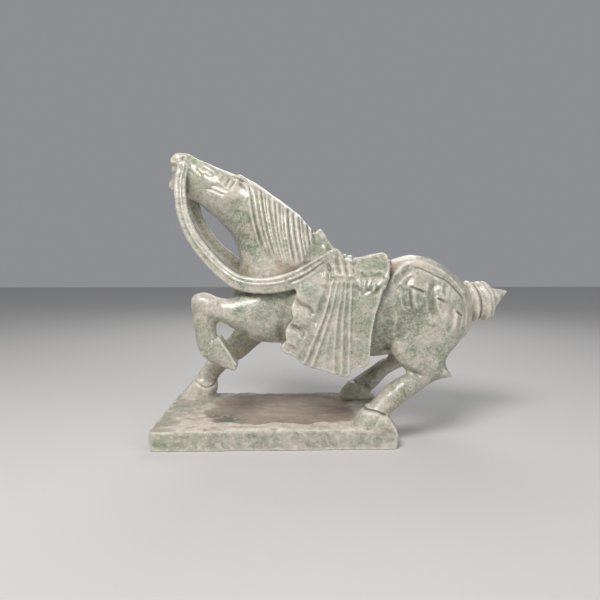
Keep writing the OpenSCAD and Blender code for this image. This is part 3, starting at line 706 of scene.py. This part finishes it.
# ---- The plinth ----
# The foot of the block: sawn underneath, hewn at the edges with soft worn corners, and hollowed on
# top between a front rim and the ground left under the hooves.

half_long, half_deep = (cad_box[0][0] * -1000, cad_box[1][1] * 1000)
plinth_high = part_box("base")[1].z * 1000
top = np.full((len(xs), len(ys)), plinth_high, np.float32)
bx, by = xs[:, None], ys[None, :]
ragged = 0.10 * np.sin(bx / 9 + by / 23) + 0.07 * np.sin(by / 7 - bx / 31)
hollow = ease((1.1 + ragged - np.abs((bx - 8) / 98) ** 4 - np.abs((by - 8) / 64) ** 4) / 0.7)
top -= 3.6 * hollow
top -= 0.9 * ease((bx + 100) / -30) * ease((-by - 30) / 10)
top -= 1.3 * ease((-by - 71) / 6) * ease((bx + 60) / -60)
END_INSET, SIDE_INSET, CORNER_INSET, CORNER_ROUND = 0.6, 0.8, 4.4, 3.8
past_end, past_side = np.abs(bx) - half_long, np.abs(by) - half_deep
slab = np.maximum(past_end + END_INSET, past_side + SIDE_INSET)
worn = np.hypot(np.maximum(past_end + CORNER_INSET, 0), np.maximum(past_side + CORNER_INSET, 0)) - CORNER_ROUND
slab = np.maximum(slab, worn).astype(np.float32)
plinth = np.maximum(np.maximum(slab[:, :, None], zs[None, None, :] - top[:, :, None]), -BAND)
lean_cut = ((-half_long - xs[:, None, None]) * 0.8 + (zs[None, None, :] - plinth_high + 5) * 0.75
            + (-half_deep - ys[None, :, None]) * 0.35)
plinth = np.maximum(plinth, lean_cut)
plinth = rubbed(plinth.astype(np.float32), 1.2)
edge_near = ease((slab + 16) / 14)[:, :, None]
plinth += (1.0 * waver(10, 11) + 0.5 * waver(3.5, 12)) * (0.22 + 0.78 * edge_near)


# ---- The finished skin ----
# All of it is one stone: the parts flow into each other with small fillets, and the whole is
# smoothed by hand. The skin is then named region by region, each a closed solid of its own.

stone = horse
for part, fillet in ((ears, 1.5), (tail, 3.0), (hooves, 2.5), (drape, 3.0), (reins, 3.5), (plinth, 3.0)):
    stone = joined(stone, part, fillet)
del horse, ears, tail, hooves, reins, saddle, cloths, drape, plinth
carve_both(stone, fan, 8, 75)
stone += 0.32 * waver(6, 21)
stone = rubbed(stone, 0.65)
near_cuts, far_cuts = canvas(), canvas()
stroke(near_cuts, [(103, 43.8), (116, 43.3), (126, 40.2), (135, 35)], 1.1, -2.4, ends=(0.1, 1))
stroke(near_cuts, [(90, 26.5), (97, 24.3), (107, 23.3), (119, 22.8)], 0.9, -1.0, ends=(0.1, 4))
stroke(near_cuts, [(-83, 108.5), (-77, 112), (-71, 117)], 1.1, -0.9, ends=(0.1, 6))
stroke(near_cuts, [(-64, 122), (-57, 110.5), (-49, 97)], 0.9, 0.7, ends=(3, 2))
stroke(far_cuts, [(-121, 56), (-112, 50), (-102, 43.5), (-95, 42.5), (-88, 46)], 1.0, -1.6, ends=(0.1, 0.1))
carve(stone, near_cuts, high=-20)
carve(stone, far_cuts, low=10)
np.maximum(stone, -zs[None, None, :], out=stone)
# The rubbed field's rise over the skin: positive on ridges, negative in cuts. It pales the ridges, partly as
# wear and partly as painted highlight, and darkens the cuts, partly as dirt and partly as painted shade.
wear_and_shade_field = rubbed(stone, 2.4) - stone

names = sorted(regions)
slots = {part["node"]: part["material_slot"] for part in frame["record"]["subparts"]}
TACK_DEPTH = 2.0
label = np.zeros(block, np.uint8)
least = np.full(block, 2 * BAND, np.float32)
for number, node in enumerate(names, 1):
    near, distances = regions[node]
    distances = distances - (TACK_DEPTH if slots[node] == "tack_stone" else 0)
    closer = distances < least[near]
    least[near][closer] = distances[closer]
    label[near][closer] = number
del least
label[stone >= 0] = 0
pieces = [(node, node + "_carved") for node in names]
# The two largest regions are each carved as two pieces, so that none is too heavy to handle.
for node, middle in (("base", 0), ("torso", 95)):
    pieces.append((node, node + "_rear_carved"))
    behind = label[span(xs, middle, 999)]
    behind[behind == names.index(node) + 1] = len(pieces)


def skin_points(cells):
    """Where the skin passes through each cell: the mean of the points where the field crosses zero on
    the cell's edges, or the cell's middle where it is all stone. Then its normal and its wear-and-shade
    value, which pales the ridges (wear and painted highlight) and darkens the cuts (dirt and painted shade)."""
    i, j, k = cells.T
    corner = np.array([(a, b, c) for a in (0, 1) for b in (0, 1) for c in (0, 1)])
    value = np.stack([stone[i + a, j + b, k + c] for a, b, c in corner], 1)
    total, count = np.zeros((len(cells), 3), np.float32), np.zeros(len(cells), np.float32)
    pairs = [(p, q) for p in range(8) for q in range(p + 1, 8) if abs(corner[p] - corner[q]).sum() == 1]
    for p, q in pairs:
        a, b = value[:, p], value[:, q]
        crosses = (a < 0) != (b < 0)
        share = np.where(crosses, a / np.where(crosses, a - b, 1), 0)[:, None]
        total += crosses[:, None] * (corner[p] + share * (corner[q] - corner[p]))
        count += crosses
    on_skin = count > 0
    place = np.where(on_skin[:, None], total / np.maximum(count, 1)[:, None], 0.5).astype(np.float32)
    fx, fy, fz = place.T
    weights = [(fx if a else 1 - fx) * (fy if b else 1 - fy) * (fz if c else 1 - fz) for a, b, c in corner]
    slope = np.zeros((len(cells), 3), np.float32)
    wear_and_shade = np.zeros(len(cells), np.float32)
    for weight, (a, b, c) in zip(weights, corner):
        ci, cj, ck = (np.clip(index, 1, n - 2) for index, n in zip((i + a, j + b, k + c), block))
        slope[:, 0] += weight * (stone[ci + 1, cj, ck] - stone[ci - 1, cj, ck])
        slope[:, 1] += weight * (stone[ci, cj + 1, ck] - stone[ci, cj - 1, ck])
        slope[:, 2] += weight * (stone[ci, cj, ck + 1] - stone[ci, cj, ck - 1])
        wear_and_shade += weight * wear_and_shade_field[ci, cj, ck]
    slope /= np.maximum(np.linalg.norm(slope, axis=1, keepdims=True), 1e-6)
    where = (cells + place + origin) * CELL / 1000
    return where.astype(np.float32), slope, wear_and_shade


def facets(number):
    """The quads that part one region from whatever is round it, as cells of four corners each, wound
    so that they face outwards, and whether each lies on the skin."""
    quads, outer = [], []
    mine = label == number
    where = np.argwhere(mine)
    low, high = np.maximum(where.min(0) - 1, 0), where.max(0) + 2
    cut = tuple(slice(a, b) for a, b in zip(low, high))
    mine, solid = mine[cut], label[cut] > 0
    for axis in range(3):
        b, c = (axis + 1) % 3, (axis + 2) % 3
        ahead = np.take(mine, range(1, mine.shape[axis]), axis)
        behind = np.take(mine, range(mine.shape[axis] - 1), axis)
        for flip, edge in ((False, behind & ~ahead), (True, ahead & ~behind)):
            at = np.argwhere(edge)
            other = at.copy()
            if not flip:
                other[:, axis] += 1
            outer.append(~solid[tuple(other.T)])
            around = np.zeros((4, 3), int)
            around[1, b] = around[2, b] = -1
            around[2, c] = around[3, c] = -1
            ring = at[:, None, :] + around[None]
            quads.append((ring[:, ::-1] if flip else ring) + low)
    return np.concatenate(quads), np.concatenate(outer)


# ---- The stone's colour ----
# Soft grey-green stone, clouded with cream flecks and darker green, rubbed to a satin polish. Its
# # ridges are paler, partly with handling and partly as painted highlight; its cuts are darker, partly
# # with dirt and partly as painted shade; painted shade darkens the flank and the neck, painted light
# # brightens a few pale places, and iron has stained three of the crevices.


class Value:
    """A number that varies over the surface: arithmetic on it adds Math nodes."""

    def __init__(self, stone_paint, socket):
        self.paint, self.socket = stone_paint, socket

    def _math(self, operation, first, second):
        return self.paint.node("ShaderNodeMath", {"operation": operation}, {0: first, 1: second})

    def __add__(self, other):
        return self._math("ADD", self, other)

    def __sub__(self, other):
        return self._math("SUBTRACT", self, other)

    def __rsub__(self, other):
        return self._math("SUBTRACT", other, self)

    def __mul__(self, other):
        return self._math("MULTIPLY", self, other)

    def __abs__(self):
        return self.paint.node("ShaderNodeMath", {"operation": "ABSOLUTE"}, {0: self})

    __radd__, __rmul__ = __add__, __mul__


class StonePaint:
    """One stone material, with its nodes made by node()."""

    def __init__(self, name):
        self.material = bpy.data.materials.new(name)
        self.material.use_nodes = True
        self.tree = self.material.node_tree
        self.shader = self.tree.nodes["Principled BSDF"]
        self.place = self.node("ShaderNodeTexCoord", {}, {}, "Object")

    def node(self, kind, settings, inputs, output=0):
        """Adds a node: its settings first, then the value or the link of each of its sockets."""
        made = self.tree.nodes.new(kind)
        for key, setting in settings.items():
            setattr(made, key, setting)
        for key, value in inputs.items():
            self.feed(made.inputs[key], value)
        return Value(self, made.outputs[output])

    def feed(self, socket, value):
        """Links a value to a socket, or sets the socket to it."""
        if isinstance(value, Value):
            self.tree.links.new(value.socket, socket)
        elif isinstance(value, tuple) and len(value) == 3 and socket.type == "RGBA":
            socket.default_value = (*value, 1)
        else:
            socket.default_value = value

    def clouds(self, size, detail=4.0, rough=0.55, warp=0.0, shift=(0.0, 0.0, 0.0),
               stretch=(1.0, 1.0, 1.0)):
        """Soft noise with swells of about size mm."""
        moved = self.node("ShaderNodeMapping", {}, {
            "Vector": self.place, "Location": shift, "Scale": stretch})
        return self.node("ShaderNodeTexNoise", {}, {
            "Vector": moved, "Scale": 1000 / size, "Detail": detail, "Roughness": rough, "Distortion": warp})

    def steps(self, value, low, high):
        """0 below low and 1 above high, easing between."""
        return self.node("ShaderNodeMapRange", {"interpolation_type": "SMOOTHSTEP"}, {
            "Value": value, "From Min": low, "From Max": high})

    def mix(self, share, under, over):
        """One colour over another by a share."""
        return self.node("ShaderNodeMix", {"data_type": "RGBA"}, {0: share, 6: under, 7: over}, 2)

    def near(self, middle, radius):
        """1 at a point of the figurine, falling to 0 at a radius from it, both in mm."""
        gap = self.node("ShaderNodeVectorMath", {"operation": "DISTANCE"}, {
            0: self.place, 1: tuple(c / 1000 for c in middle)}, "Value")
        return self.steps(gap, radius / 1000, 0.2 * radius / 1000)


def linear(r, g, b):
    """A screen colour from 0 to 255 as linear light."""
    c = np.array([r, g, b]) / 255
    return tuple(float(v) for v in np.where(c <= 0.04045, c / 12.92, ((c + 0.055) / 1.055) ** 2.4))


def jade(name, ground, shade, fleck, gloss, is_plinth):
    """The clouded stone: ground colour, darker shade and pale fleck, by noise of many sizes,
    with green pools where the block has them, painted shade on the flank and the neck, painted light
    in pale places, ridges paler (partly wear, partly painted highlight) and cuts darker (partly dirt,
    partly painted shade)."""
    paint = StonePaint(name)
    wear_and_shade = paint.node("ShaderNodeAttribute", {"attribute_name": "wear_and_shade"}, {}, "Fac")
    drift = paint.steps(paint.clouds(80, 2, 0.5, 0.6), 0.38, 0.62)
    patches = paint.steps(paint.clouds(34, 4, 0.58, 0.9, shift=(0.3, 0.1, 0.7)), 0.42, 0.60)
    blush = paint.steps(paint.clouds(26, 4, 0.60, 1.0, shift=(0.5, 0.6, 0.1)), 0.48, 0.66)
    speck_noise = paint.clouds(9, 6, 0.63, 1.0, shift=(0.9, 0.4, 0.2), stretch=(0.95, 1.0, 1.0))
    specks = paint.steps(speck_noise, 0.44, 0.64)
    grains = paint.steps(paint.clouds(2.4, 3, 0.66, 0.5, shift=(0.2, 0.8, 0.5)), 0.47, 0.66)
    deep = paint.steps(paint.clouds(8, 5, 0.62, 0.9, shift=(0.1, 0.5, 0.4)), 0.52, 0.70)
    vein_noise = paint.clouds(19, 6, 0.64, 1.2, shift=(0.6, 0.2, 0.9), stretch=(0.7, 1.0, 1.3))
    veins = paint.steps(abs(vein_noise - 0.5), 0.036, 0.002)
    wisp_noise = paint.clouds(6, 5, 0.70, 1.6, shift=(0.4, 0.9, 0.3))
    wisps = paint.steps(abs(wisp_noise - 0.5), 0.044, 0.004)
    colour = paint.mix(patches * (0.40 + 0.55 * drift), ground, shade)
    green_pools = (((117, -46, 213), 26), ((54, -20, 238), 24), ((141, -46, 140), 44), ((-22, -25, 245), 46),
                   ((-132, -77, 10), 42), ((206, -50, 108), 34), ((100, -60, 150), 34), ((-20, -45, 120), 36))
    # Painted shade: darker green laid on the flank under the saddle cloth and under the neck, where shade
    # falls.
    painted_shade_zones = (((148, -44, 130), 48), ((-34, -22, 238), 44))
    # Painted light: pale cream pools that brighten the rump top, the tail, the hooves, the buttock and a few
    # other places.
    painted_light_zones = (((262, 0, 166), 50), ((120, -58, 34), 34), ((182, -14, 216), 40), ((-8, -40, 204), 34),
                  ((-118, 45, 38), 34), ((-72, -52, 168), 30), ((234, -30, 150), 26), ((82, -40, 205), 22))
    # The green pools are the stone's own colour; the painted shade zones and painted light zones stand in for
    # shade and light.
    for zones, share, tone in ((green_pools, 0.35 + 0.5 * specks, linear(116, 134, 106)),
                               (painted_shade_zones, 0.74, linear(90, 105, 80)),
                               (painted_light_zones, 0.36 + 0.50 * specks, linear(226, 213, 200))):
        for middle, radius in zones:
            colour = paint.mix(paint.near(middle, radius) * share, colour, tone)
    colour = paint.mix(blush * 0.50, colour, linear(206, 192, 180))
    colour = paint.mix(specks * (0.50 - 0.2 * patches), colour, fleck)
    colour = paint.mix(deep * 0.50, colour, linear(96, 112, 86))
    colour = paint.mix(wisps * (0.16 + 0.36 * specks), colour, linear(226, 217, 203))
    colour = paint.mix(veins * 0.26, colour, linear(226, 216, 202))
    colour = paint.mix(grains * 0.27, colour, linear(224, 216, 202))
    # Ridges paler and creamier: partly handling wear, partly a painted highlight.
    wear_and_highlight = paint.steps(wear_and_shade, 0.04, 0.60) * (0.75 + 0.45 * specks)
    # Cuts darker and browner: partly dirt, partly painted shade; the same mask makes them rougher.
    dirt_and_shade = paint.steps(wear_and_shade, -0.08, -0.8)
    colour = paint.mix(wear_and_highlight * 0.50, colour, linear(230, 223, 211))
    colour = paint.mix(dirt_and_shade * 0.66, colour, linear(88, 86, 66))
    rust = paint.steps(paint.clouds(7, 3, 0.6, 0.5), 0.36, 0.6)
    rust_spots = (((141, -25, 214), 17, 0.8), ((12, -46, 205), 22, 0.35), ((-38, -20, 204), 24, 0.45))
    for middle, radius, share in rust_spots:
        colour = paint.mix(paint.near(middle, radius) * rust * share, colour, linear(178, 126, 96))
    if is_plinth:
        facing = paint.node("ShaderNodeNewGeometry", {}, {}, "Normal")
        up = paint.node("ShaderNodeSeparateXYZ", {}, {"Vector": facing}, "Z")
        height = paint.node("ShaderNodeSeparateXYZ", {}, {"Vector": paint.place}, "Z")
        # A brownish, rougher tint with streaks on the upward faces of the plinth's hollow.
        hollow_top_tint = paint.steps(up, 0.7, 0.97) * paint.steps(height, 0.0262, 0.0226)
        hollow_top_tint = hollow_top_tint * (0.6 + 0.4 * paint.clouds(30, 4, 0.6, 1.0, stretch=(0.5, 1.6, 1.0)))
        colour = paint.mix(hollow_top_tint, colour, linear(148, 130, 115))
        streak = paint.steps(paint.clouds(14, 5, 0.65, 1.2, stretch=(0.25, 1.4, 1.0)), 0.48, 0.66)
        colour = paint.mix(hollow_top_tint * streak * 0.6, colour, linear(190, 172, 156))
        stain = paint.near((-62, -26, 22), 36) * paint.steps(paint.clouds(13, 4, 0.65, 1.0), 0.40, 0.52)
        colour = paint.mix(stain * 0.75, colour, linear(80, 98, 84))
        ground_left = paint.steps(up, 0.7, 0.97) * paint.steps(height, 0.0225, 0.0240)
        lines = paint.steps(paint.clouds(16, 5, 0.65, 0.8, stretch=(0.28, 1.8, 1.0)), 0.40, 0.62)
        colour = paint.mix(ground_left * lines * 0.75, colour, linear(142, 148, 132))
        front = paint.steps(paint.near((0, -77, 26), 175), 0.0, 0.5)
        rim = front * paint.steps(up, 0.45, 0.9) * paint.steps(height, 0.0232, 0.0250)
        colour = paint.mix(rim * (0.55 + 0.40 * specks), colour, linear(232, 216, 203))
    paint.feed(paint.shader.inputs["Base Color"], colour)
    rough = gloss + 0.14 * paint.clouds(11, 3, 0.6) + 0.10 * grains + 0.25 * dirt_and_shade
    if is_plinth:
        rough = rough + 0.25 * hollow_top_tint
    paint.feed(paint.shader.inputs["Roughness"], rough)
    paint.shader.inputs["Specular IOR Level"].default_value = 0.6
    paint.shader.inputs["Coat Weight"].default_value = 0.0 if is_plinth else 0.45
    paint.shader.inputs["Coat Roughness"].default_value = 0.12
    paint.shader.inputs["Subsurface Weight"].default_value = 0.10
    paint.shader.inputs["Subsurface Radius"].default_value = (0.8, 1.0, 0.6)
    paint.shader.inputs["Subsurface Scale"].default_value = 0.002
    fine = 0.5 * paint.clouds(1.3, 3, 0.6) + 0.5 * paint.clouds(4.5, 3, 0.55)
    bump = paint.node("ShaderNodeBump", {}, {"Strength": 0.6, "Distance": 0.0011, "Height": fine}, "Normal")
    paint.feed(paint.shader.inputs["Normal"], bump)
    return paint.material


stones = {}
for name, ground, shade, fleck, gloss in (
        ("plinth_stone", (158, 160, 142), (124, 134, 112), (198, 190, 175), 0.40),
        ("body_stone", (146, 150, 132), (106, 118, 95), (194, 187, 172), 0.24),
        ("pale_stone", (164, 163, 147), (128, 137, 114), (206, 197, 183), 0.24),
        ("tack_stone", (152, 157, 138), (112, 124, 100), (198, 191, 176), 0.20)):
    stones[name] = jade(name, linear(*ground), linear(*shade), linear(*fleck), gloss, name == "plinth_stone")


# ---- The named regions ----
# Each region of the frame gets a closed skin of its own, or two on the plinth and the trunk, with
# its slot's stone and its ride.

for number, (node, piece) in enumerate(pieces, 1):
    quads, outer = facets(number)
    cells, corners = np.unique(quads.reshape(-1, 3), axis=0, return_inverse=True)
    where, slope, wear_and_shade = skin_points(cells)
    where[:, 2] = np.maximum(where[:, 2], 0)
    mesh = bpy.data.meshes.new(piece)
    mesh.vertices.add(len(cells))
    mesh.vertices.foreach_set("co", where.ravel())
    mesh.loops.add(len(corners))
    mesh.loops.foreach_set("vertex_index", corners.ravel().astype(np.int32))
    mesh.polygons.add(len(quads))
    mesh.polygons.foreach_set("loop_start", np.arange(0, 4 * len(quads), 4, dtype=np.int32))
    mesh.update(calc_edges=True)
    mesh.polygons.foreach_set("use_smooth", outer)
    mesh.attributes.new("wear_and_shade", "FLOAT", "POINT").data.foreach_set("value", wear_and_shade)
    mesh.normals_split_custom_set_from_vertices(slope)
    mesh.materials.append(stones[slots[node]])
    carved = bpy.data.objects.new(piece, mesh)
    bpy.context.scene.collection.objects.link(carved)
    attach(carved, "root")
    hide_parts(node)
